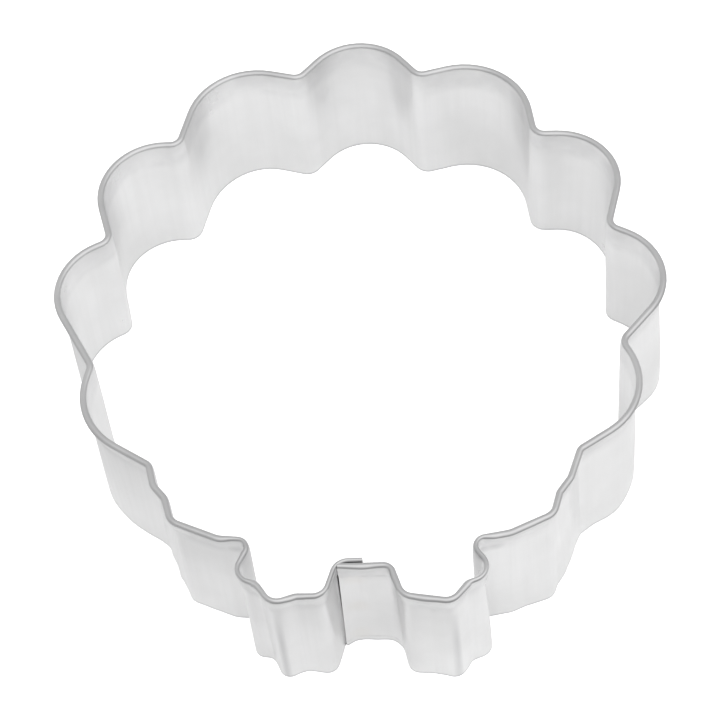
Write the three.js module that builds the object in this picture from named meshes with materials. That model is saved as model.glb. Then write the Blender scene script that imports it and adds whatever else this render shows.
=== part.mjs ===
// Cookie cutter: one strip of tinplate bent to the outline of a turkey with a fanned tail.
// The top edge is folded outwards into a hem that is safe to press on, and the lower edge is
// left raw to cut. The two ends of the strip lap between the feet, where spot welds hold them.
// Millimetres, +Z up, the feet towards -Y, the cutting edge on z = 0.
import * as THREE from 'three';

// Outline, between its outermost corners before they are rounded
const OUTLINE_WIDTH = 86.4; // across the two widest feathers
const OUTLINE_LENGTH = 90.7; // from the lowest toe to the top feather

// Strip
const BAND_HEIGHT = 22.2; // cutting edge to the top of the hem
const SHEET = 0.25; // thickness of the tinplate
const HEM_DEPTH = 2.7; // top of the hem to the raw edge of the folded flap
const HEM_GAP = 0.45; // open space inside the fold

// Lap between the feet
const LAP_MIDDLE = -1.1; // x of the middle of the lap
const LAP_LENGTH = 3.1; // how far the two ends overlap
const LAP_CLEARANCE = 0.05; // hem of the inner end to the wall of the outer end
const LAP_SETBACK = 0.85; // edge of the outer end to the inner end's first bend

// Spot welds, evenly spaced up the middle of the lap
const WELD_DIAMETER = 1.8;
const WELD_ABOVE_EDGE = 2.3; // cutting edge to the middle of the lowest weld
const WELD_BELOW_HEM = 2.1; // raw edge of the hem's flap to the middle of the highest weld
const WELD_PLACES = ['lower', 'middle', 'upper'];

// Bend radii, each measured inside the bend on the metal's own face
const NOTCH_RADIUS = 1.15; // inward bends between the feathers
const CREASE_RADIUS = 0.65; // other inward bends: webs between toes, ankles and hips
const TOE_RADIUS = 1.6; // outward bends of the toes and of the corners of the belly
const BELLY_RADIUS = 3; // slight bends along the belly

// Smoothness of the facets
const CHORD_ERROR = 0.04; // how far a facet may cut inside its arc
const FOLD_SEGMENTS = 2; // facets in each quarter of the fold
const WELD_SIDES = 24;
const EDGE_SHARE = 0.95; // most of a straight that the bends at its two ends may use

// Corners of the outline, clockwise from above: x, y and the bend radius there. They are drawn
// at full size and stretched to the outline's width and length.
const LEFT_FOOT = [
  [-4.6, -42.3, TOE_RADIUS],
  [-8.0, -42.2, CREASE_RADIUS],
  [-10.9, -43.1, TOE_RADIUS],
  [-12.7, -40.3, CREASE_RADIUS],
  [-15.7, -39.5, TOE_RADIUS],
  [-13.1, -34.3, CREASE_RADIUS],
];
const LEFT_FLANK = [
  [-17.6, -33.8, BELLY_RADIUS],
  [-23.4, -31.2, TOE_RADIUS],
  [-24.2, -28.0, CREASE_RADIUS],
  [-25.7, -26.1, TOE_RADIUS],
  [-26.4, -23.0, CREASE_RADIUS],
];
const FEATHERS = [
  [-36.6, -16.3, 9.1],
  [-42.6, 7.2, 7.7],
  [-37.1, 27.6, 8.2],
  [-20.6, 41.1, 8.6],
  [0.3, 47.2, 7.2],
  [21.6, 40.6, 8.7],
  [36.5, 26.1, 7.5],
  [43.8, 5.1, 7.6],
  [38.0, -16.0, 8.7],
];
const NOTCHES = [
  [-34.5, -7.9, NOTCH_RADIUS],
  [-32.9, 11.7, NOTCH_RADIUS],
  [-24.4, 27.2, NOTCH_RADIUS],
  [-8.1, 37.9, NOTCH_RADIUS],
  [8.2, 37.5, NOTCH_RADIUS],
  [23.7, 26.5, NOTCH_RADIUS],
  [32.7, 10.9, NOTCH_RADIUS],
  [33.4, -7.2, NOTCH_RADIUS],
];
const RIGHT_FLANK = [
  [27.4, -22.9, CREASE_RADIUS],
  [26.0, -27.0, TOE_RADIUS],
  [24.5, -29.1, CREASE_RADIUS],
  [23.7, -32.0, TOE_RADIUS],
  [18.4, -34.4, BELLY_RADIUS],
];
const RIGHT_FOOT = [
  [12.9, -35.3, CREASE_RADIUS],
  [16.2, -40.0, TOE_RADIUS],
  [12.9, -41.2, CREASE_RADIUS],
  [11.1, -43.5, TOE_RADIUS],
  [5.2, -42.5, TOE_RADIUS],
  [3.8, -38.3, CREASE_RADIUS],
];
const TAIL = FEATHERS.flatMap((feather, i) => (i < NOTCHES.length ? [feather, NOTCHES[i]] : [feather]));
const DRAWN_CORNERS = [...LEFT_FOOT, ...LEFT_FLANK, ...TAIL, ...RIGHT_FLANK, ...RIGHT_FOOT];

// The corners at the outline's own width and length.
function spread(values) {
  return Math.max(...values) - Math.min(...values);
}
const widthScale = OUTLINE_WIDTH / spread(DRAWN_CORNERS.map(([x]) => x));
const lengthScale = OUTLINE_LENGTH / spread(DRAWN_CORNERS.map(([, y]) => y));
const outline = DRAWN_CORNERS.map(([x, y, radius]) => [x * widthScale, y * lengthScale, radius]);

// The outer end of the lap lies flush with the outline's last corner. The hem stands outside the
// wall, so the inner end lies a whole hem and a clearance behind it.
const hemThickness = SHEET + HEM_GAP + SHEET;
const hemReach = hemThickness - SHEET / 2;
const lapOffset = hemThickness + LAP_CLEARANCE;
const outerLapFace = outline.at(-1)[1];
const innerLapFace = outerLapFace + lapOffset;
const innerEnd = LAP_MIDDLE + LAP_LENGTH / 2;
const outerEnd = LAP_MIDDLE - LAP_LENGTH / 2;

// Every corner of the strip, with its two ends and the inner end's first bend.
function stripCorners() {
  const corners = [
    [innerEnd, innerLapFace, 0],
    [outerEnd - LAP_SETBACK, innerLapFace, CREASE_RADIUS],
    ...outline,
    [outerEnd, outerLapFace, 0],
  ];
  return corners.map(([x, y, radius]) => ({ point: new THREE.Vector2(x, y), radius }));
}

// The straights between corners, each with its direction and length.
function straights(corners) {
  return corners.slice(1).map((corner, i) => {
    const along = corner.point.clone().sub(corners[i].point);
    return { direction: along.clone().normalize(), length: along.length() };
  });
}

// Signed turn between two directions: positive to the left, which is outwards on this path.
function turnBetween(from, to) {
  return Math.atan2(from.cross(to), from.dot(to));
}

// How far before and after its corner each bend starts, limited by the straights beside it.
function bendLengths(corners, edges) {
  const wanted = corners.map(({ radius }, i) => {
    if (i === 0 || i === edges.length) return 0;
    const turn = turnBetween(edges[i - 1].direction, edges[i].direction);
    const middleRadius = radius + (turn > 0 ? hemReach : SHEET / 2);
    return middleRadius * Math.tan(Math.abs(turn) / 2);
  });
  const room = edges.map((edge, i) => Math.min(1, (EDGE_SHARE * edge.length) / (wanted[i] + wanted[i + 1])));
  return wanted.map((length, i) => length * Math.min(room[i - 1] ?? 1, room[i] ?? 1));
}

// Points and directions along one bend, from its straight before to its straight after.
function bendStations(corner, before, after, length) {
  const turn = turnBetween(before, after);
  const radius = length / Math.tan(Math.abs(turn) / 2);
  const toCentre = new THREE.Vector2(-before.y, before.x).multiplyScalar(Math.sign(turn) * radius);
  const start = before.clone().multiplyScalar(-length).add(corner);
  const centre = start.clone().add(toCentre);
  const steps = Math.ceil(Math.abs(turn) / (2 * Math.acos(1 - CHORD_ERROR / radius)));
  const origin = new THREE.Vector2();
  return Array.from({ length: steps + 1 }, (_, i) => {
    const angle = (turn * i) / steps;
    return {
      point: start.clone().rotateAround(centre, angle),
      direction: before.clone().rotateAround(origin, angle),
    };
  });
}

// Every station of the strip's middle line, from the inner end to the outer end.
function bandStations() {
  const corners = stripCorners();
  const edges = straights(corners);
  const lengths = bendLengths(corners, edges);
  const bends = corners.slice(1, -1).flatMap((corner, i) =>
    bendStations(corner.point, edges[i].direction, edges[i + 1].direction, lengths[i + 1]),
  );
  const first = { point: corners[0].point, direction: edges[0].direction };
  const last = { point: corners.at(-1).point, direction: edges.at(-1).direction };
  return [first, ...bends, last];
}

// A path that steps from station to station, however far apart they are.
class StationPath extends THREE.Curve {
  constructor(stations) {
    super();
    this.stations = stations;
  }

  at(t) {
    return this.stations[Math.round(t * (this.stations.length - 1))];
  }

  getUtoTmapping(u) {
    return u;
  }

  getPoint(t, target = new THREE.Vector3()) {
    const { point } = this.at(t);
    return target.set(point.x, point.y, 0);
  }

  getTangent(t, target = new THREE.Vector3()) {
    const { direction } = this.at(t);
    return target.set(direction.x, direction.y, 0);
  }
}

// Section across the strip: x runs down from the cutting edge's level, y runs outwards.
function stripSection() {
  const inside = -SHEET / 2;
  const outside = SHEET / 2;
  const foldOuter = hemThickness / 2;
  const foldInner = HEM_GAP / 2;
  const foldMiddle = outside + foldInner;
  const foldLevel = foldOuter - BAND_HEIGHT;
  const flapEdge = HEM_DEPTH - BAND_HEIGHT;
  const section = new THREE.Shape();
  section.moveTo(0, inside);
  section.lineTo(foldLevel, inside);
  section.absarc(foldLevel, foldMiddle, foldOuter, -Math.PI / 2, Math.PI / 2, true);
  section.lineTo(flapEdge, foldMiddle + foldOuter);
  section.lineTo(flapEdge, foldMiddle + foldInner);
  section.lineTo(foldLevel, foldMiddle + foldInner);
  section.absarc(foldLevel, foldMiddle, foldInner, Math.PI / 2, -Math.PI / 2, false);
  section.lineTo(0, outside);
  section.closePath();
  return section;
}

function formedBand() {
  const stations = bandStations();
  const geometry = new THREE.ExtrudeGeometry(stripSection(), {
    extrudePath: new StationPath(stations),
    steps: stations.length - 1,
    curveSegments: FOLD_SEGMENTS,
  });
  const tinplate = new THREE.MeshStandardMaterial({ color: 0xd8d9da, roughness: 0.32, metalness: 1 });
  const band = new THREE.Mesh(geometry, tinplate);
  band.name = 'formed_band';
  return band;
}

// A weld nugget fills the space between the two walls of the lap and meets both face to face.
function spotWeld(place, order) {
  const lowest = WELD_ABOVE_EDGE;
  const highest = BAND_HEIGHT - HEM_DEPTH - WELD_BELOW_HEM;
  const height = THREE.MathUtils.lerp(lowest, highest, order / (WELD_PLACES.length - 1));
  const thickness = lapOffset - SHEET;
  const radius = WELD_DIAMETER / 2;
  const geometry = new THREE.CylinderGeometry(radius, radius, thickness, WELD_SIDES);
  const fusedSteel = new THREE.MeshStandardMaterial({ color: 0xa9abad, roughness: 0.5, metalness: 1 });
  const weld = new THREE.Mesh(geometry, fusedSteel);
  weld.name = `spot_weld_${place}`;
  weld.position.set(LAP_MIDDLE, outerLapFace + lapOffset / 2, height);
  return weld;
}

const cutter = new THREE.Group();
cutter.add(formedBand());
for (const [order, place] of WELD_PLACES.entries()) {
  cutter.add(spotWeld(place, order));
}

// The origin lies under the middle of the cutter's box, on the cutting edge's plane.
const middle = new THREE.Box3().setFromObject(cutter).getCenter(new THREE.Vector3());
cutter.position.set(-middle.x, -middle.y, 0);

export default cutter;
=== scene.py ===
# %% [markdown]
# # A tinplate cookie cutter
# The real cutter is one strip of tinplate, which is thin steel sheet with a bright coating of tin. A
# machine folds one edge of the strip over into a blunt hem, and the strip is then bent round a form to
# the outline of a turkey. Its two ends lap between the feet, where three spot welds hold them. This
# lesson makes the strip the same way: first its section, then one bend after another, then the lap.

import bmesh
import bpy
import math
from mathutils import Matrix, Vector


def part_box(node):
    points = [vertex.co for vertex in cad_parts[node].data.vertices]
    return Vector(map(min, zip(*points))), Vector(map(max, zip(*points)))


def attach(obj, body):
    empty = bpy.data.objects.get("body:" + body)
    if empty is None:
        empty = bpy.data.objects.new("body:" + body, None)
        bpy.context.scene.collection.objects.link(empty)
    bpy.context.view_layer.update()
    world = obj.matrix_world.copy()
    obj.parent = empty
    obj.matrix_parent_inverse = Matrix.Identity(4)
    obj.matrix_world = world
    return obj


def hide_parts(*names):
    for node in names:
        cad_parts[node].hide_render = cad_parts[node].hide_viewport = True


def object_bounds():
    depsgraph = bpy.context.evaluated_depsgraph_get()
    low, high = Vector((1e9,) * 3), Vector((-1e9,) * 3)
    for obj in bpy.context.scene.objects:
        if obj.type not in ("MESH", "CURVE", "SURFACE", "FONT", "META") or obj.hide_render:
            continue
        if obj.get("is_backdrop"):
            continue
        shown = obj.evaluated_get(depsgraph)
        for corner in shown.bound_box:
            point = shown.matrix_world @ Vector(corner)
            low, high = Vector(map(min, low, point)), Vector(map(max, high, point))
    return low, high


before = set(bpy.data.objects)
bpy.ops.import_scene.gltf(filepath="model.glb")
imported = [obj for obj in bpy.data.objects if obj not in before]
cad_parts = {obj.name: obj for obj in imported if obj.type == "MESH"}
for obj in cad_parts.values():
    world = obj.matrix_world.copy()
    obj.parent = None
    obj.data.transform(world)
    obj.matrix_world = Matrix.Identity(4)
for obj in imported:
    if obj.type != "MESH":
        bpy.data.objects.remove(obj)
cad_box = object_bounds()
print("CAD nodes:", sorted(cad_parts))

# %% [markdown]
# ## The outline
# The outline is a ring of corners with a bend at each one, listed clockwise as seen from above. Every
# corner has its place and the radius inside its bend. Feathers are wide bends, and the notches between
# them, the toes and the ankles are tight ones. A few corners with true radii keep the straights straight
# and the bends round, which a free curve through many points would not.

# %% Corners of the outline, in millimetres
MM = 0.001
NOTCH = 1.15
CREASE = 0.65
TOE = 1.6
BELLY = 3.0

LEFT_FOOT = [
    (-4.6, -42.3, TOE),
    (-8.0, -42.2, CREASE),
    (-10.9, -43.1, TOE),
    (-12.7, -40.3, CREASE),
    (-15.7, -39.5, TOE),
    (-13.1, -34.3, CREASE),
]
LEFT_FLANK = [
    (-17.6, -33.8, BELLY),
    (-23.4, -31.2, TOE),
    (-24.2, -28.0, CREASE),
    (-25.7, -26.1, TOE),
    (-26.4, -23.0, CREASE),
]
TAIL = [
    (-36.6, -16.3, 9.1),
    (-34.5, -7.9, NOTCH),
    (-42.6, 7.2, 7.7),
    (-32.9, 11.7, NOTCH),
    (-37.1, 27.6, 8.2),
    (-24.4, 27.2, NOTCH),
    (-20.6, 41.1, 8.6),
    (-8.1, 37.9, NOTCH),
    (0.3, 47.2, 7.2),
    (8.2, 37.5, NOTCH),
    (21.6, 40.6, 8.7),
    (23.7, 26.5, NOTCH),
    (36.5, 26.1, 7.5),
    (32.7, 10.9, NOTCH),
    (43.8, 5.1, 7.6),
    (33.4, -7.2, NOTCH),
    (38.0, -16.0, 8.7),
]
RIGHT_FLANK = [
    (27.4, -22.9, CREASE),
    (26.0, -27.0, TOE),
    (24.5, -29.1, CREASE),
    (23.7, -32.0, TOE),
    (18.4, -34.4, BELLY),
]
RIGHT_FOOT = [
    (12.9, -35.3, CREASE),
    (16.2, -40.0, TOE),
    (12.9, -41.2, CREASE),
    (11.1, -43.5, TOE),
    (5.2, -42.5, TOE),
    (3.8, -38.3, CREASE),
]
OUTLINE = LEFT_FOOT + LEFT_FLANK + TAIL + RIGHT_FLANK + RIGHT_FOOT
print("bends in the outline:", len(OUTLINE))

# %% [markdown]
# ## The lap
# The strip starts behind the panel between the feet and ends on the front of it, so its two ends lie one
# behind the other. The hem stands proud of the wall, so the inner end sits back by most of a hem. The
# strip therefore has two loose ends, and one more bend where the inner end comes out from behind the
# panel.

# %% Corners of the whole strip, in millimetres
SHEET = 0.25
HEM_REACH = 0.825
LAP_OFFSET = 0.71
INNER_END = 0.25
OUTER_END = -2.85
FIRST_BEND = (-3.1, 1.3)

panel_face = RIGHT_FOOT[-1][1]
corners = [
    (INNER_END, panel_face + LAP_OFFSET, 0),
    (FIRST_BEND[0], panel_face + LAP_OFFSET, FIRST_BEND[1]),
    *OUTLINE,
    (OUTER_END, panel_face, 0),
]
places = [Vector((x, y)) * MM for x, y, radius in corners]
straights = [after - before for before, after in zip(places, places[1:])]
turns = [before.angle_signed(after) for before, after in zip(straights, straights[1:])]
print("strip corners:", len(corners), "sum of the turns in degrees:", round(math.degrees(sum(turns))))

# %% [markdown]
# ## Room for each bend
# A bend of radius r through an angle a starts r * tan(a / 2) before its corner. The radius in the list is
# measured on the inside of the bend, so the middle of the sheet lies further out: half a sheet further on
# most bends, and a whole hem further where the hem lies inside the bend. Where two neighbours would want
# more than the straight between them, both give way.

# %% How far from its corner each bend starts
STRAIGHT_SHARE = 0.95


def wanted_reach(corner, turn):
    """Distance from a corner to the start of its bend, along the straight."""
    inside = HEM_REACH if turn < 0 else SHEET / 2
    return (corner[2] + inside) * MM * math.tan(abs(turn) / 2)


wanted = [0, *map(wanted_reach, corners[1:-1], turns), 0]
room = [
    min(1, STRAIGHT_SHARE * straight.length / (start + end))
    for straight, start, end in zip(straights, wanted, wanted[1:])
]
reaches = [0, *(reach * min(pair) for reach, pair in zip(wanted[1:-1], zip(room, room[1:]))), 0]
print("longest reach of a bend, mm:", round(max(reaches) / MM, 2))

# %% [markdown]
# ## A pencil for sheet metal
# The spin operator can turn a shape about an axis or step it along a line, and it leaves a trail behind.
# Spinning one point draws a chain of edges, and spinning a chain draws a sheet, so one helper serves both.
# Two more helpers read the place of a chain's last point and tilt a direction. The first point stands at
# the strip's inner end, on the cutting edge and in the middle of the sheet.

# %% Helpers that draw, and the first point
UP = Vector((0, 0, 1))
ACROSS = Vector((1, 0, 0))
EDGE_HEIGHT = 0.01 * MM
WALL_INSET = 0.13 * MM


def draw_on(bm, end, steps, turn=0, about=(0, 0, 0), axis=UP, step=(0, 0, 0)):
    """Grow the open end of a chain or a sheet, and return the new open end."""
    grown = bmesh.ops.spin(bm, geom=end, steps=steps, angle=turn, cent=about, axis=axis, dvec=step)
    return grown["geom_last"]


def tip(end):
    """Place of the single point at the end of a chain."""
    return next(part.co.copy() for part in end if isinstance(part, bmesh.types.BMVert))


def tilted(direction, turn):
    """A direction turned outwards about the line of the strip's inner end."""
    return Matrix.Rotation(turn, 3, ACROSS) @ direction


strip = bmesh.new()
outwards = Vector((0, -1, 0))
foot = Vector((*places[0], EDGE_HEIGHT)) - outwards * WALL_INSET
end = [strip.verts.new(foot)]
print("first point, mm:", [round(value / MM, 3) for value in foot])

# %% [markdown]
# ## The section of the strip
# Seen end on, the strip is a tall wall that leans out a little near the top, turns over in a round fold
# and comes back down as a short flap. The flap leans in and then eases flat against the wall. One point is
# drawn up, round and down again, which leaves a chain of edges through the middle of the sheet.

# %% Draw the section at the strip's inner end
BAND_HEIGHT = 22.19 * MM
SHOULDER_RADIUS = 9 * MM
SHOULDER_TURN = math.radians(8)
FOLD_RADIUS = 0.355 * MM
FLAP_LEAN = math.radians(16)
FLAP_RUN = 1.25 * MM
EASE_RADIUS = 4 * MM
WALL_ROWS = 18
SHOULDER_ROWS = 4
FOLD_ROWS = 12
FLAP_ROWS = 2
EASE_ROWS = 4
HALF_SHEET = SHEET * MM / 2

shoulder_rise = (SHOULDER_RADIUS - FOLD_RADIUS) * math.sin(SHOULDER_TURN)
wall_top = BAND_HEIGHT - HALF_SHEET - FOLD_RADIUS - shoulder_rise
end = draw_on(strip, end, WALL_ROWS, step=UP * (wall_top - EDGE_HEIGHT) / WALL_ROWS)
shoulder_centre = tip(end) + outwards * SHOULDER_RADIUS
end = draw_on(strip, end, SHOULDER_ROWS, SHOULDER_TURN, shoulder_centre, ACROSS)
fold_centre = tip(end) + tilted(outwards, SHOULDER_TURN) * FOLD_RADIUS
fold_turn = math.pi - SHOULDER_TURN + FLAP_LEAN
end = draw_on(strip, end, FOLD_ROWS, fold_turn, fold_centre, ACROSS)
end = draw_on(strip, end, FLAP_ROWS, step=tilted(-UP, FLAP_LEAN) * FLAP_RUN / FLAP_ROWS)
ease_centre = tip(end) + tilted(outwards, FLAP_LEAN) * EASE_RADIUS
end = draw_on(strip, end, EASE_ROWS, -FLAP_LEAN, ease_centre, ACROSS)
section_size = len(strip.verts)
print("section points:", section_size, "flap edge at mm:", round(tip(end).z / MM, 2))

# %% [markdown]
# ## Bending the strip
# The same helper now draws the whole section along the outline. On a straight it steps along, and at a
# corner it turns about the centre of the bend, just as the strip is wiped round a former. The new open
# end of each move is the start of the next one. Every step leaves one upright column of points. The first
# and last column of each bend are noted, because the hem will be squeezed there later. The middle of the
# bent sheet is noted too, before anything is pressed out of shape.

# %% Draw the section round the outline
STRAIGHT_STEP = 0.4 * MM
BEND_STEP = math.radians(7)


def along_straight(bm, end, straight, length):
    """Step the open end along one straight."""
    steps = math.ceil(length / STRAIGHT_STEP)
    step = straight.normalized() * length / steps
    return draw_on(bm, end, steps, step=step.to_3d())


def round_bend(bm, end, place, straight, turn, reach):
    """Turn the open end about the centre of one bend. A turn to the right counts as positive."""
    direction = straight.normalized()
    to_right = Vector((direction.y, -direction.x))
    radius = reach / math.tan(turn / 2)
    centre = place - direction * reach + to_right * radius
    steps = math.ceil(abs(turn) / BEND_STEP)
    return draw_on(bm, end, steps, -turn, centre.to_3d(), UP)


def flat_middle(points):
    """Middle of the box round some points, seen from above."""
    points = list(points)
    low = Vector((min(p.x for p in points), min(p.y for p in points), 0))
    high = Vector((max(p.x for p in points), max(p.y for p in points), 0))
    return (low + high) / 2


end = [*strip.verts, *strip.edges]
bends = []
for number, straight in enumerate(straights):
    plain = straight.length - reaches[number] - reaches[number + 1]
    end = along_straight(strip, end, straight, plain)
    if number < len(turns):
        first = len(strip.verts) // section_size
        end = round_bend(strip, end, places[number + 1], straight, turns[number], reaches[number + 1])
        bends.append((first, len(strip.verts) // section_size))
strip.verts.ensure_lookup_table()
starts = range(0, len(strip.verts), section_size)
columns = [strip.verts[start:start + section_size] for start in starts]
bent_middle = flat_middle(vert.co for vert in strip.verts)
print("columns in the bent sheet:", len(columns), "faces:", len(strip.faces))

# %% [markdown]
# ## Squeezing the hem
# The hem is not equally full all round. The tool squeezes it in a crease, and a toe stretches it flat, both
# the more the sharper the bend is. At the lap both hems are squeezed so that the ends lie close, and the
# inner one is crushed almost flat. Each column of points is drawn together towards its own foot.

# %% Squeeze the hem at the sharp bends and at the lap
FLAT_HEM = 0.27 * MM
SQUEEZE_UP = (18.6 * MM, 19.4 * MM)
SHARP_TURNS = (math.radians(30), math.radians(110))
BEND_SQUEEZE = 0.5
INNER_SQUEEZE = 0.62
OUTER_SQUEEZE = 0.45
BEND_FADE_COLUMNS = 5
INNER_FADE_COLUMNS = (12, 50)
OUTER_FADE_COLUMNS = 9


def ease(value, start, end):
    """Go smoothly from 0 at the start to 1 at the end."""
    share = min(1, max(0, (value - start) / (end - start)))
    return share * share * (3 - 2 * share)


def squeeze_at_bend(number, corner, turn, bend):
    """How far one crease or toe squeezes the hem at one column."""
    if corner[2] not in (CREASE, TOE):
        return 0
    away = max(bend[0] - number, number - bend[1])
    return BEND_SQUEEZE * ease(abs(turn), *SHARP_TURNS) * (1 - ease(away, 0, BEND_FADE_COLUMNS))


def squeeze_hem(column, share):
    """Draw the hem of one column towards the wall."""
    base = column[0].co.copy()
    for vert in column:
        offset = (vert.co - base).xy.to_3d()
        proud = max(0, offset.length - FLAT_HEM)
        vert.co -= offset.normalized() * proud * share * ease(vert.co.z, *SQUEEZE_UP)


for number, column in enumerate(columns):
    at_inner_end = INNER_SQUEEZE * (1 - ease(number, *INNER_FADE_COLUMNS))
    at_outer_end = OUTER_SQUEEZE * ease(number, len(columns) - OUTER_FADE_COLUMNS, len(columns))
    at_bends = [squeeze_at_bend(number, *bend) for bend in zip(corners[1:-1], turns, bends)]
    squeeze_hem(column, max(at_inner_end, at_outer_end, *at_bends))
print("creases and toes:", sum(corner[2] in (CREASE, TOE) for corner in corners))

# %% [markdown]
# ## Pressing the lap
# Before welding, the outer end is pushed back below its hem until it almost touches the wall behind. Past
# the welds the end springs out again, most of all at its lower corner, and its cut edge is not quite
# upright. The wall behind gives way there, which leaves a dark slot beside the edge. Each of these is a
# small move of the points, which fades in and out with a smooth step.

# %% Press the outer end back and open the slot
END_PRESS = 0.34 * MM
PRESS_ACROSS = (1.2 * MM, -0.8 * MM)
PRESS_DOWN = (19.4 * MM, 16.5 * MM)
SPRING_ACROSS = (-1.3 * MM, -2.9 * MM)
CORNER_BOW = 0.15 * MM
BOW_DOWN = (8 * MM, 0)
END_SLANT = 0.33 * MM
SLOT_DEPTH = 0.25 * MM
SLOT_ACROSS = (-1.5 * MM, -2.6 * MM)
SLOT_DOWN = (21.2 * MM, 18.5 * MM)
SLOT_FADE_COLUMNS = 9

outer_lap = [vert for column in columns[bends[-1][1]:] for vert in column]
for vert in outer_lap:
    sprung = ease(vert.co.x, *SPRING_ACROSS)
    pressed = END_PRESS * ease(vert.co.x, *PRESS_ACROSS) * ease(vert.co.z, *PRESS_DOWN) * (1 - sprung)
    bowed = CORNER_BOW * sprung * ease(vert.co.z, *BOW_DOWN)
    slanted = END_SLANT * ease(vert.co.x, *PRESS_ACROSS) * (1 - vert.co.z / BAND_HEIGHT)
    vert.co += Vector((-slanted, pressed - bowed, 0))
slot_end = bends[0][1] + SLOT_FADE_COLUMNS
for number, column in enumerate(columns[:slot_end]):
    held = 1 - ease(number, bends[0][1], slot_end)
    for vert in column:
        vert.co.y += SLOT_DEPTH * held * ease(vert.co.x, *SLOT_ACROSS) * ease(vert.co.z, *SLOT_DOWN)
print("points moved in the lap:", len(outer_lap) + slot_end * section_size)

# %% [markdown]
# ## Marks of hand bending
# A strip bent by hand never stands quite upright, and each touch of the former leaves a faint upright
# ripple. One lean flares the whole wall a little, and the others move it in or out near one place each,
# most of all at the cutting edge and not at all at the hem. A ripple is a narrow swelling of the wall.
# Both follow the wall's own normal.

# %% Lean the wall and add ripples
# Each row has a place, the reach of the move and how far it goes outwards, in millimetres.
LEANS = [
    ((0, 0), 200, 0.1),
    ((1.5, -38.3), 5.5, -0.55),
    ((-3.6, -39.6), 2.2, 0.15),
    ((-4.4, -41.8), 2.6, 0.15),
    ((-9.0, -42.5), 4.5, -0.35),
    ((-10.9, -43.1), 2.5, 0.2),
    ((-13.0, -40.2), 2.5, -0.35),
    ((-24.2, -28.0), 1.8, 0.15),
    ((-25.0, -27.3), 5.0, 0.4),
    ((-25.7, -26.1), 2.0, -0.5),
    ((-26.4, -23.0), 2.0, 0.2),
    ((-32.5, -17.5), 5.0, -0.3),
    ((-37.8, -12.5), 8.0, 0.2),
    ((-38.5, -5.0), 6.0, 0.35),
    ((-39.5, 0), 8.0, 0.15),
    ((-33.5, 11.0), 8.0, 0.35),
    ((-35.0, 24.0), 8.0, 0.1),
    ((-15.0, 39.2), 8.0, 0.2),
    ((33.6, 21.5), 8.0, -0.25),
    ((33.3, 10.0), 7.0, 0.35),
    ((40.0, 0.5), 6.0, 0.3),
    ((38.0, -1.5), 9.0, 0.5),
    ((34.5, -17.5), 5.0, -0.4),
    ((33.5, -18.8), 9.0, 0.65),
    ((27.4, -22.9), 3.0, 0.4),
    ((26.0, -27.0), 1.8, -0.2),
    ((25.3, -28.0), 6.0, 0.6),
    ((24.5, -29.1), 1.8, 0.3),
    ((22.8, -32.7), 3.0, 0.3),
    ((16.4, -39.0), 3.0, 0.6),
    ((12.0, -42.4), 2.4, 0.3),
    ((8.5, -43.0), 3.0, -0.2),
    ((3.8, -38.3), 1.8, 0.2),
]
RIPPLES = [
    ((8.8, -43.1), 0.7, 0.03),
    ((20.9, -33.3), 0.8, 0.03),
    ((22.4, -32.6), 0.6, -0.02),
    ((16.2, -34.8), 0.9, 0.025),
    ((-6.4, -42.3), 0.8, 0.025),
    ((-20.6, -32.4), 0.9, 0.03),
    ((12.4, 38.4), 0.8, 0.03),
    ((29.2, 26.3), 1.0, 0.03),
    ((-28.6, 27.4), 1.0, 0.03),
]
LEAN_FADE = (wall_top, 0)
RIPPLE_FADE = (19 * MM, 15 * MM)

bmesh.ops.recalc_face_normals(strip, faces=strip.faces)
if strip.verts[0].normal.dot(outwards) < 0:
    bmesh.ops.reverse_faces(strip, faces=strip.faces)
strip.normal_update()
wall = [vert for vert in strip.verts if vert.co.z < wall_top]


def swell(place, reach, height, fade):
    """Move the wall near a place along its normal, fading sideways and upwards."""
    middle = Vector(place) * MM
    for vert in wall:
        share = 1 - ease((vert.co.xy - middle).length, 0, reach * MM)
        vert.co += vert.normal * height * MM * share * ease(vert.co.z, *fade)


for lean in LEANS:
    swell(*lean, LEAN_FADE)
for ripple in RIPPLES:
    swell(*ripple, RIPPLE_FADE)
print("leans:", len(LEANS), "ripples:", len(RIPPLES))

# %% [markdown]
# ## Into the frame
# The list of corners has its own zero, so the sheet is moved until the box that it had after bending lies
# over the box of the CAD band. The sheet has no thickness yet, but the missing half sheet is the same on
# all sides, so the middles still agree.

# %% Move the sheet over the CAD band
shift = flat_middle(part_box("formed_band")) - bent_middle
bmesh.ops.translate(strip, verts=strip.verts, vec=shift)
print("shift into the frame, mm:", [round(value / MM, 3) for value in shift])

# %% [markdown]
# ## Dents
# A spot welder squeezes the two walls between round electrodes and leaves a shallow round dent over each
# weld. Bending tools leave smaller dents just under the hem. For each dent the faces near it are cut finer,
# and their points are then pressed in along the wall's normal.

# %% Press the dents
WELDS = ["spot_weld_lower", "spot_weld_middle", "spot_weld_upper"]
WELD_DENT = (2.2 * MM, 0.03 * MM)
TOOL_DENT = (1.2 * MM, 0.06 * MM)
TOOL_DENTS = [(-8.1, -42.4, 18.8), (8.8, -43.2, 18.4), (20.9, -33.4, 18.9)]
DENT_CUTS = 2
IN_FRONT = Vector((0, -1, 0)) * MM


def nearest(bm, place):
    """The point of the sheet nearest to a place."""
    return min(bm.verts, key=lambda vert: (vert.co - place).length_squared)


def in_dent(offset, facing, width):
    """Whether an offset from the middle of a dent stays on the wall and near the middle."""
    return abs(offset.dot(facing)) < HALF_SHEET and offset.length < width


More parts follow.
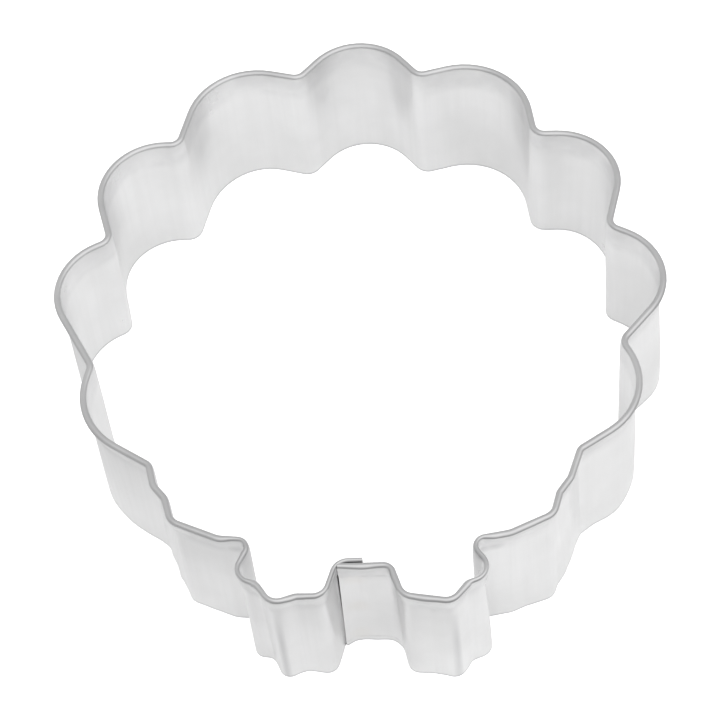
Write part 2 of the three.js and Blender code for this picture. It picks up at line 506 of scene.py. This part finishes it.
def press_dent(bm, place, width, depth):
    """Press a round dent into the wall next to a place."""
    seed = nearest(bm, place)
    facing = seed.normal.copy()
    centre = place + facing * (seed.co - place).dot(facing)
    near = [face for face in bm.faces if in_dent(face.calc_center_median() - centre, facing, width)]
    edges = list({edge for face in near for edge in face.edges})
    bmesh.ops.subdivide_edges(bm, edges=edges, cuts=DENT_CUTS, use_grid_fill=True)
    for vert in bm.verts:
        offset = vert.co - centre
        if in_dent(offset, facing, width):
            vert.co -= facing * depth * (1 - ease(offset.length, 0, width / 2))


weld_places = {name: sum(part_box(name), Vector()) / 2 for name in WELDS}
for weld_place in weld_places.values():
    press_dent(strip, weld_place + IN_FRONT, *WELD_DENT)
for mark in TOOL_DENTS:
    press_dent(strip, Vector(mark) * MM + shift, *TOOL_DENT)
print("dents:", len(WELDS) + len(TOOL_DENTS), "points:", len(strip.verts))

# %% [markdown]
# ## Weld nuggets
# The weld itself is a small disc of steel that melted between the two walls. It is hidden in the finished
# cutter, but it is a piece of its own, so it is made as one. Each disc is as thick as the space left
# between the walls at its place, less a hair on each side.

# %% Make one nugget for each weld
NUGGET_RADIUS = 0.9 * MM
NUGGET_SIDES = 32
NUGGET_CLEARANCE = 0.005 * MM
NUGGET_EDGE = 0.2
SHARP_EDGE = math.radians(60)
EDGE_STEPS = 2


def space_between_walls(place):
    """Middle and width of the space between the two walls of the lap."""
    front = nearest(strip, place + IN_FRONT).co.y + HALF_SHEET
    back = nearest(strip, place - IN_FRONT).co.y - HALF_SHEET
    return Vector((place.x, (front + back) / 2, place.z)), back - front


def link_piece(name, bm):
    """Turn a finished bmesh into an object of the scene."""
    mesh = bpy.data.meshes.new(name)
    for face in bm.faces:
        face.smooth = True
    bm.to_mesh(mesh)
    bm.free()
    piece = bpy.data.objects.new(name, mesh)
    bpy.context.scene.collection.objects.link(piece)
    return piece


def weld_nugget(name):
    """A flat disc with a rounded edge, standing upright between the walls."""
    middle, space = space_between_walls(weld_places[name])
    thickness = space - 2 * NUGGET_CLEARANCE
    disc = bmesh.new()
    bmesh.ops.create_cone(
        disc, cap_ends=True, segments=NUGGET_SIDES,
        radius1=NUGGET_RADIUS, radius2=NUGGET_RADIUS, depth=thickness,
    )
    rims = [edge for edge in disc.edges if edge.calc_face_angle() > SHARP_EDGE]
    bmesh.ops.bevel(
        disc, geom=rims, offset=thickness * NUGGET_EDGE, segments=EDGE_STEPS, profile=0.5,
        affect="EDGES", material=-1,
    )
    upright = Matrix.Rotation(math.pi / 2, 4, "X")
    bmesh.ops.transform(disc, matrix=Matrix.Translation(middle) @ upright, verts=disc.verts)
    print(name, "thickness mm:", round(thickness / MM, 3))
    return link_piece(name.replace("spot_weld", "weld_nugget"), disc)


nuggets = {name: weld_nugget(name) for name in WELDS}
for name, nugget in nuggets.items():
    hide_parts(name)
    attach(nugget, "root")

# %% [markdown]
# ## The finished band
# The sheet becomes an object, and a Solidify modifier gives it the thickness of the tinplate, half to
# each side. A small Bevel breaks the sheared edges, which on real strip are never quite sharp.

# %% Give the band its thickness
EDGE_BREAK = 0.04 * MM

band = link_piece("tinplate_band", strip)
thickness = band.modifiers.new("sheet", "SOLIDIFY")
thickness.thickness = SHEET * MM
thickness.offset = 0
thickness.use_even_offset = True
thickness.use_quality_normals = True
broken_edge = band.modifiers.new("sheared edge", "BEVEL")
broken_edge.width = EDGE_BREAK
broken_edge.segments = EDGE_STEPS
broken_edge.limit_method = "ANGLE"
broken_edge.angle_limit = SHARP_EDGE
broken_edge.harden_normals = True
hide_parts("formed_band")
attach(band, "root")
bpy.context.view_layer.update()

# %% [markdown]
# ## Shader helpers
# A finish is a small graph of nodes. One helper adds a node, sets it up and wires its inputs, so that each
# finish below reads as a short list. The others make a stretched noise, turn one range of numbers into
# another, join two numbers, mix two colours and start a new material.

# %% Helpers for the finishes
def add_node(tree, kind, inputs, **settings):
    """Add a shader node. An input is a value or another node's output."""
    made = tree.nodes.new(kind)
    for name, value in settings.items():
        setattr(made, name, value)
    for name, value in inputs.items():
        if isinstance(value, bpy.types.NodeSocket):
            tree.links.new(value, made.inputs[name])
        else:
            made.inputs[name].default_value = value
    return made


def stretched_noise(tree, place, scale, detail=3):
    """Noise with its own number of features per metre along each axis."""
    mapped = add_node(tree, "ShaderNodeMapping", {"Vector": place, "Scale": scale})
    noise = add_node(
        tree, "ShaderNodeTexNoise", {"Vector": mapped.outputs["Vector"], "Scale": 1, "Detail": detail}
    )
    return noise.outputs["Fac"]


def rescale(tree, value, before, after, steps="LINEAR"):
    """Turn one range of numbers into another, and hold the result inside it."""
    limits = {"From Min": before[0], "From Max": before[1], "To Min": after[0], "To Max": after[1]}
    ranged = add_node(tree, "ShaderNodeMapRange", {"Value": value, **limits}, interpolation_type=steps)
    return ranged.outputs["Result"]


def join_numbers(tree, operation, first, second):
    """Add or multiply two numbers, or take the larger one."""
    joined = add_node(tree, "ShaderNodeMath", {0: first, 1: second}, operation=operation)
    return joined.outputs["Value"]


def distance(tree, place, mark):
    """How far each point lies from a mark."""
    away = add_node(tree, "ShaderNodeVectorMath", {0: place, 1: mark}, operation="DISTANCE")
    return away.outputs["Value"]


def blend_colour(tree, share, first, second):
    """Mix two colours. Sockets 6 and 7 of the node are its two colours, and output 2 is the result."""
    mix = add_node(tree, "ShaderNodeMix", {0: share, 6: first, 7: second}, data_type="RGBA")
    return mix.outputs[2]


def new_finish(name):
    """A material with its node tree, its shader and the place of each point on the object."""
    material = bpy.data.materials.new(name)
    material.use_nodes = True
    tree = material.node_tree
    place = add_node(tree, "ShaderNodeTexCoord", {}).outputs["Object"]
    return material, tree, tree.nodes["Principled BSDF"], place


# %% [markdown]
# ## Painted shade on the tin
# Painted shade and painted reflection are laid on the tin at listed places. A painted dark reflection runs
# in upright streaks down the two front toes. Painted shade fills the hollows of the ankles, darker towards
# the top, and lies under the bunched hem beside them, and patchy painted shade lies all along under the
# hem.
# Two faint broken dark lines cross the panel, the upper one painted shade under the flap's raw edge. The
# places could be painted on a picture, but a short list of them stays sharp at any distance.

# %% Places of the marks
# Painted dark reflection: upright streaks down the two front toes, strongest low on the wall.
TOE_REFLECTION_STREAKS = [Vector((-10.6, -42.7, 0)) * MM, Vector((11.4, -43.1, 0)) * MM]
TOE_STREAK_REACH = (0.1 * MM, 0.7 * MM)
TOE_STREAK_FADE = (18.5 * MM, 10 * MM)
TOE_STREAK_SHARE = 0.8
# Painted shade in the hollows of the two ankles, darker towards the top.
ANKLE_SHADE_PLACES = [Vector((-14.1, -36.5, 0)) * MM, Vector((14.85, -37.25, 0)) * MM]
ANKLE_SHADE_REACH = (0.8 * MM, 2.6 * MM)
ANKLE_SHADE_FADE = (8 * MM, 17 * MM)
ANKLE_SHADE_SHARE = 0.55
# Painted shade just below the hem where it bunches beside the ankles.
BUNCHED_HEM_SHADE = [
    Vector((-15.4, -33.7, 19.2)) * MM,
    Vector((14.9, -34.6, 18.7)) * MM,
    Vector((16.6, -34.3, 18.9)) * MM,
]
BUNCHED_SHADE_REACH = (0.3 * MM, 1.5 * MM)
BUNCHED_SHADE_SHARE = 0.9
# Patchy painted shade under the hem, from 17 mm upwards.
UNDER_HEM_SHADE_SCALE = (250, 250, 250)
UNDER_HEM_SHADE_NOISE = (0.35, 0.65)
UNDER_HEM_SHADE_SHARES = (0.1, 0.5)
UNDER_HEM_SHADE_FROM = (17 * MM, 19.2 * MM)
# Two broken dark lines across the panel: painted shade under the flap's raw edge at 18.5 mm, and a line
# 1.15 mm above the cutting edge.
PANEL_LINE_HEIGHTS = [Vector((0, 0, 18.5)) * MM, Vector((0, 0, 1.15)) * MM]
PANEL_LINE_REACH = (0.1 * MM, 0.4 * MM)
PANEL_LINE_SHARE = 0.5
PANEL_MIDDLE = Vector((0.5, -37.8, 0)) * MM
PANEL_REACH = (3.2 * MM, 3.8 * MM)
BREAK_SCALE = (700, 700, 700)
BREAK_NOISE = (0.35, 0.65)
print("marks of tools:", len(TOE_REFLECTION_STREAKS + ANKLE_SHADE_PLACES + BUNCHED_HEM_SHADE + PANEL_LINE_HEIGHTS))

# %% [markdown]
# ## From places to shares
# A mark is a distance from its place that is turned into a share between 0 and 1. A place with its height
# set to 0 turns a round mark into an upright streak, and a place with only its height left turns it into a
# level line. Noise makes the painted shade under the hem uneven and breaks the lines.

# %% Helpers for the marks
FLAT = (1, 1, 0)
UPRIGHT = (0, 0, 1)


def near_marks(tree, place, marks, reach, share=1):
    """A share at each mark that fades to 0 around it."""
    nearness = 0
    for mark in marks:
        near = rescale(tree, distance(tree, place, mark), reach, (share, 0))
        nearness = join_numbers(tree, "MAXIMUM", nearness, near)
    return nearness


def part_of(tree, place, axes):
    """A place with some of its axes set to 0."""
    kept = add_node(tree, "ShaderNodeVectorMath", {0: place, 1: axes}, operation="MULTIPLY")
    return kept.outputs["Vector"]


def upright_marks(tree, place, height, marks, reach, fade, share):
    """Upright streaks at some marks, which grow with the height or fade with it."""
    streaks = near_marks(tree, part_of(tree, place, FLAT), marks, reach)
    return join_numbers(tree, "MULTIPLY", streaks, rescale(tree, height, fade, (0, share)))


def shade_under_hem(tree, place, height):
    """Uneven patches of painted shade under the hem."""
    patches = rescale(tree, stretched_noise(tree, place, UNDER_HEM_SHADE_SCALE), UNDER_HEM_SHADE_NOISE, UNDER_HEM_SHADE_SHARES)
    under_hem = rescale(tree, height, UNDER_HEM_SHADE_FROM, (0, 1), "SMOOTHSTEP")
    return join_numbers(tree, "MULTIPLY", patches, under_hem)


def panel_dark_lines(tree, place):
    """Broken dark lines across the panel at two heights, the upper one painted shade under the flap's raw
    edge.
    """
    lines = near_marks(tree, part_of(tree, place, UPRIGHT), PANEL_LINE_HEIGHTS, PANEL_LINE_REACH, PANEL_LINE_SHARE)
    on_panel = near_marks(tree, part_of(tree, place, FLAT), [PANEL_MIDDLE], PANEL_REACH)
    breaks = rescale(tree, stretched_noise(tree, place, BREAK_SCALE), BREAK_NOISE, (0, 1))
    return join_numbers(tree, "MULTIPLY", join_numbers(tree, "MULTIPLY", lines, on_panel), breaks)


# %% [markdown]
# ## The colour of the tin
# Tin is a bright neutral metal. Handling adds smudges and the former leaves faint upright streaks. A
# painted shade darkens the fold and the wall just under it, the colour darkens towards the cutting edge,
# and the heat of each weld leaves a faint straw tint. The painted shade and painted reflection of the marks
# above are laid on too. Each of these is one layer of colour, laid over the last one by its own share.

# %% Layers of the tin's colour
TIN_BRIGHT = (0.85, 0.85, 0.852, 1)
TIN_SMUDGED = (0.78, 0.78, 0.78, 1)
# Colour of the painted shade along the fold.
TIN_FOLD_SHADE = (0.73, 0.73, 0.732, 1)
# The darker colour of all the painted shade and painted reflection on the tin.
TIN_PAINTED_SHADE = (0.62, 0.62, 0.625, 1)
# Colour of the bottom of the wall, along the cutting edge.
EDGE_DARK_TONE = (0.4, 0.4, 0.41, 1)
HEAT_TINT = (0.7, 0.63, 0.52, 1)
PATCH_NOISE = (0.4, 0.7)
STREAK_SCALE = (900, 900, 25)
STREAK_SHARE = 0.45
# Painted shade along the fold and the wall just under it, growing from 19.2 mm to 21.2 mm.
FOLD_SHADE_FROM = (19.2 * MM, 21.2 * MM)
FOLD_SHADE_SHARE = 0.6
# The colour darkens over the bottom 0.45 mm of the wall.
EDGE_DARK_HEIGHT = (0, 0.45 * MM)
EDGE_DARK_SHARE = 0.75
HEAT_REACH = (0.7 * MM, 2.0 * MM)
HEAT_SHARE = 0.1


def tin_colour(tree, place, smudge):
    """Bright tin under its layers of smudges, painted shade, painted reflection, a darker cutting edge and
    heat tint.
    """
    height = add_node(tree, "ShaderNodeSeparateXYZ", {"Vector": place}).outputs["Z"]
    streaks = stretched_noise(tree, place, STREAK_SCALE)
    toe_reflections = upright_marks(tree, place, height, TOE_REFLECTION_STREAKS, TOE_STREAK_REACH, TOE_STREAK_FADE, TOE_STREAK_SHARE)
    ankle_shade = upright_marks(tree, place, height, ANKLE_SHADE_PLACES, ANKLE_SHADE_REACH, ANKLE_SHADE_FADE, ANKLE_SHADE_SHARE)
    # Painted shade and painted reflection: the fold, under the hem, the toes, the ankles, the bunched hem
    # and the panel lines.
    layers = [
        (rescale(tree, smudge, PATCH_NOISE, (0, 1)), TIN_SMUDGED),
        (rescale(tree, streaks, PATCH_NOISE, (0, STREAK_SHARE)), TIN_SMUDGED),
        (rescale(tree, height, FOLD_SHADE_FROM, (0, FOLD_SHADE_SHARE)), TIN_FOLD_SHADE),
        (shade_under_hem(tree, place, height), TIN_PAINTED_SHADE),
        (toe_reflections, TIN_PAINTED_SHADE),
        (ankle_shade, TIN_PAINTED_SHADE),
        (near_marks(tree, place, BUNCHED_HEM_SHADE, BUNCHED_SHADE_REACH, BUNCHED_SHADE_SHARE), TIN_PAINTED_SHADE),
        (panel_dark_lines(tree, place), TIN_PAINTED_SHADE),
        (rescale(tree, height, EDGE_DARK_HEIGHT, (EDGE_DARK_SHARE, 0)), EDGE_DARK_TONE),
        (near_marks(tree, place, weld_places.values(), HEAT_REACH, HEAT_SHARE), HEAT_TINT),
    ]
    colour = TIN_BRIGHT
    for share, layer in layers:
        colour = blend_colour(tree, share, colour, layer)
    return colour


# The darker colour is the painted shade and painted reflection on the tin.
print("bright tin reflects", TIN_BRIGHT[0], "and painted shade on tin", TIN_PAINTED_SHADE[0])

# %% [markdown]
# ## Tinplate
# The rolls leave the tin satin, with a fine grain along the strip, and smudged places are a little duller.
# Everything hangs on the object's own coordinates in metres, so the grain can be fine in height and long
# along the strip. A Bump node is enough for the grain, because it is far finer than anything modelled.

# %% Put the tinplate finish on the band
SMUDGE_SCALE = (80, 80, 80)
SMUDGE_DETAIL = 5
GRAIN_SCALE = (120, 120, 9000)
GRAIN_HEIGHT = 0.008 * MM
GRAIN_STRENGTH = 0.3
MIDDLE_NOISE = (0.3, 0.7)
TIN_ROUGHNESS = (0.27, 0.33)

tinplate, tree, shader, place = new_finish("tinplate")
smudge = stretched_noise(tree, place, SMUDGE_SCALE, SMUDGE_DETAIL)
grain = stretched_noise(tree, place, GRAIN_SCALE)
relief = add_node(
    tree, "ShaderNodeBump", {"Height": grain, "Strength": GRAIN_STRENGTH, "Distance": GRAIN_HEIGHT}
)
tree.links.new(tin_colour(tree, place, smudge), shader.inputs["Base Color"])
tree.links.new(rescale(tree, smudge, MIDDLE_NOISE, TIN_ROUGHNESS), shader.inputs["Roughness"])
tree.links.new(relief.outputs["Normal"], shader.inputs["Normal"])
shader.inputs["Metallic"].default_value = 1
band.data.materials.append(tinplate)
print("tinplate nodes:", len(tree.nodes))

# %% [markdown]
# ## Fused steel
# The nuggets melted and froze, so their steel is darker and duller than the tin, with a mottled skin. One
# noise gives the mottled colour, the uneven dullness and the low relief together, as they belong together.

# %% Put the fused steel on the nuggets
FUSED_LIGHT = (0.5, 0.49, 0.47, 1)
FUSED_DARK = (0.3, 0.29, 0.28, 1)
FUSED_ROUGHNESS = (0.5, 0.7)
MOTTLE_SCALE = (2500, 2500, 2500)
MOTTLE_DETAIL = 5
MOTTLE_HEIGHT = 0.01 * MM
MOTTLE_STRENGTH = 0.4

fused_steel, tree, shader, place = new_finish("fused steel")
mottle = stretched_noise(tree, place, MOTTLE_SCALE, MOTTLE_DETAIL)
relief = add_node(
    tree, "ShaderNodeBump", {"Height": mottle, "Strength": MOTTLE_STRENGTH, "Distance": MOTTLE_HEIGHT}
)
tree.links.new(blend_colour(tree, mottle, FUSED_DARK, FUSED_LIGHT), shader.inputs["Base Color"])
tree.links.new(rescale(tree, mottle, MIDDLE_NOISE, FUSED_ROUGHNESS), shader.inputs["Roughness"])
tree.links.new(relief.outputs["Normal"], shader.inputs["Normal"])
shader.inputs["Metallic"].default_value = 1
for nugget in nuggets.values():
    nugget.data.materials.append(fused_steel)
print("fused steel nodes:", len(tree.nodes))

# %% [markdown]
# ## The light pad
# The cutter stands on a small pad of white glass that glows a little from below, as small goods often do in
# a catalogue. The pad is not much larger than the cutter. It is brightest a little to the right of its
# middle and fades towards its edge. Past the edge the rim mirrors the dimmer room, and that draws the fine
# dark lines along the rim. A catalogue picture is cut out on plain white, so the camera itself sees the pad
# as white.

# %% Light pad
PAD_HALF_SIDES = (62 * MM, 68 * MM)
PAD_MIDDLE = 8 * MM
PAD_BRIGHTEST = Vector((14, 4, 0)) * MM
PAD_GLOW = (0.4, 0.14)
PAD_FADE = (49 * MM, 68 * MM)
GLASS_LIGHT = (0.82, 0.82, 0.82, 1)
GLASS_GREY = (0.78, 0.78, 0.78, 1)
GLASS_SCALE = (400, 400, 400)
WHITE = (1, 1, 1, 1)

pad_shape = bmesh.new()
pad_place = Matrix.Translation((0, PAD_MIDDLE, 0)) @ Matrix.Diagonal((*PAD_HALF_SIDES, 1, 1))
bmesh.ops.create_grid(pad_shape, x_segments=1, y_segments=1, size=1, matrix=pad_place)
pad = link_piece("light_pad", pad_shape)
pad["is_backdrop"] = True
white_glass, tree, shader, place = new_finish("white glass")
frosting = stretched_noise(tree, place, GLASS_SCALE)
glow = rescale(tree, distance(tree, place, PAD_BRIGHTEST), PAD_FADE, PAD_GLOW, "SMOOTHSTEP")
seen = add_node(tree, "ShaderNodeLightPath", {}).outputs["Is Camera Ray"]
tree.links.new(blend_colour(tree, frosting, GLASS_LIGHT, GLASS_GREY), shader.inputs["Base Color"])
tree.links.new(join_numbers(tree, "MAXIMUM", glow, seen), shader.inputs["Emission Strength"])
shader.inputs["Emission Color"].default_value = WHITE
shader.inputs["Roughness"].default_value = 1
shader.inputs["Specular IOR Level"].default_value = 0
pad.data.materials.append(white_glass)
print("pad sides, mm:", [round(2 * side / MM) for side in PAD_HALF_SIDES])

# %% [markdown]
# ## The light tent
# A tent of white cloth stands round the pad. Metal shows what it mirrors, so the tent matters more than any
# lamp. Three broad lights fall on the cloth: one high at the camera's right, one behind the cutter and a
# weak one at the left. The dot product of the viewing direction with a light's direction gives its soft
# fade. The camera itself sees the cloth as plain white, as it sees the pad.

# %% Surroundings
TENT_DIM = 0.36
# Each row has a light's direction, the dot products where it starts and is fullest, and its strength.
TENT_LIGHTS = [
    (Vector((0.35, -0.45, 0.82)), (0.4, 1.0), 0.6),
    (Vector((0.2, 0.93, 0.31)), (-0.6, 0.8), 0.24),
    (Vector((-0.9, -0.2, 0.39)), (0.2, 1.0), 0.15),
]

tent = bpy.data.worlds.new("light tent")
bpy.context.scene.world = tent
tent.use_nodes = True
tree = tent.node_tree
toward = add_node(tree, "ShaderNodeTexCoord", {}).outputs["Generated"]
cloth = TENT_DIM
for direction, fade, strength in TENT_LIGHTS:
    facing = add_node(tree, "ShaderNodeVectorMath", {0: toward, 1: direction}, operation="DOT_PRODUCT")
    light = rescale(tree, facing.outputs["Value"], fade, (0, strength), "SMOOTHSTEP")
    cloth = join_numbers(tree, "ADD", cloth, light)
seen = add_node(tree, "ShaderNodeLightPath", {}).outputs["Is Camera Ray"]
tree.links.new(blend_colour(tree, seen, cloth, WHITE), tree.nodes["Background"].inputs["Color"])
print("lights on the tent:", len(TENT_LIGHTS))

# %% [markdown]
# ## The camera
# The photo looks down on the feet from a little under 60 degrees. The place, the lens and the slight roll
# were found by laying the rim and the cutting edge over the photo. The Standard view keeps white cloth
# white, where a film-like view would grey it.

# %% Camera
CAMERA_PLACE = Vector((16.861, -184.285, 294.122)) * MM
CAMERA_AIM = Vector((-1.142, 5.454, 0)) * MM
CAMERA_ROLL = math.radians(-6.746)
SENSOR_WIDTH = 36
FOCAL_LENGTH = 126.1

lens = bpy.data.cameras.new("camera")
lens.sensor_width = SENSOR_WIDTH
lens.lens = FOCAL_LENGTH
camera = bpy.data.objects.new("camera", lens)
look = (CAMERA_AIM - CAMERA_PLACE).to_track_quat("-Z", "Y")
camera.matrix_world = (
    Matrix.Translation(CAMERA_PLACE)
    @ look.to_matrix().to_4x4()
    @ Matrix.Rotation(CAMERA_ROLL, 4, "Z")
)
bpy.context.scene.collection.objects.link(camera)
bpy.context.scene.camera = camera
bpy.context.scene.view_settings.view_transform = "Standard"
print("camera distance, mm:", round((CAMERA_AIM - CAMERA_PLACE).length / MM))

# %% [markdown]
# ## Sizes
# The finished model must lie inside the box of the CAD part. The box of the finished model and the box of
# the CAD part are both written down so that they can be compared.

# %% Write the two boxes and finish
boxes = {"cad": cad_box, "visual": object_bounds()}
for name, box in boxes.items():
    print(name, "box, mm:", [[round(value / MM, 3) for value in corner] for corner in box])
